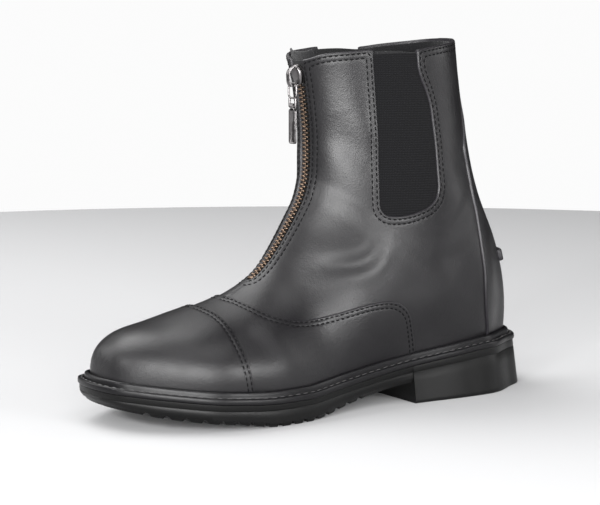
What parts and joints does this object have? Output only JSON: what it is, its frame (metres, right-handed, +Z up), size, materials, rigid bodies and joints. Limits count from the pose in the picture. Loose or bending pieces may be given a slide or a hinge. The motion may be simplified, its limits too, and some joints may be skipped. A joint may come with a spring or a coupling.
{
  "type": "paddock boot",
  "caption": "Ankle-high black leather riding boot with front zip, elastic side gores, stitched toe cap, raised welt, low block heel and lugged forepart.",
  "frame": {"origin": "on the floor under the middle of the boot's bounding box", "axes": "+Z up, toe towards -Y and heel towards +Y, +X towards the wearer's left, the outer side of this left boot"},
  "size_m": [0.1054, 0.2868, 0.212],
  "materials": {
    "sole_rubber": "matt moulded rubber",
    "welt_rubber": "satin moulded rubber welt",
    "insole_board": "matt black sock on board",
    "upper_leather": "satin black full-grain leather",
    "gore_elastic": "ribbed black elastic",
    "zip_fabric": "matt woven black zip tape",
    "lining_leather": "soft black leather flap",
    "zip_brass": "antiqued brass teeth",
    "pull_metal": "satin nickel plate"
  },
  "bodies": {
    "boot": {"outsole": "sole_rubber", "heel_block": "sole_rubber", "welt": "welt_rubber", "insole": "insole_board", "upper": "upper_leather", "toe_cap": "upper_leather", "back_stay": "upper_leather", "gore_lateral": "gore_elastic", "gore_medial": "gore_elastic", "spur_rest": "upper_leather", "zip_tape": "zip_fabric", "zip_placket": "lining_leather", "zip_teeth": "zip_brass", "zip_slider": "pull_metal"},
    "pull_ring": {"zip_ring": "pull_metal"},
    "pull_tab": {"zip_tab": "pull_metal"}
  },
  "joints": [
    {"name": "ring_swing", "type": "hinge", "parent": "boot", "child": "pull_ring", "pos_m": [0.00043, -0.01438, 0.18771], "axis": [-1, 0, 0], "range_deg": [-5, 110]},
    {"name": "tab_swing", "type": "hinge", "parent": "pull_ring", "child": "pull_tab", "pos_m": [0.00043, -0.01438, 0.1747], "axis": [-1, 0, 0], "range_deg": [-5, 90]}
  ]
}
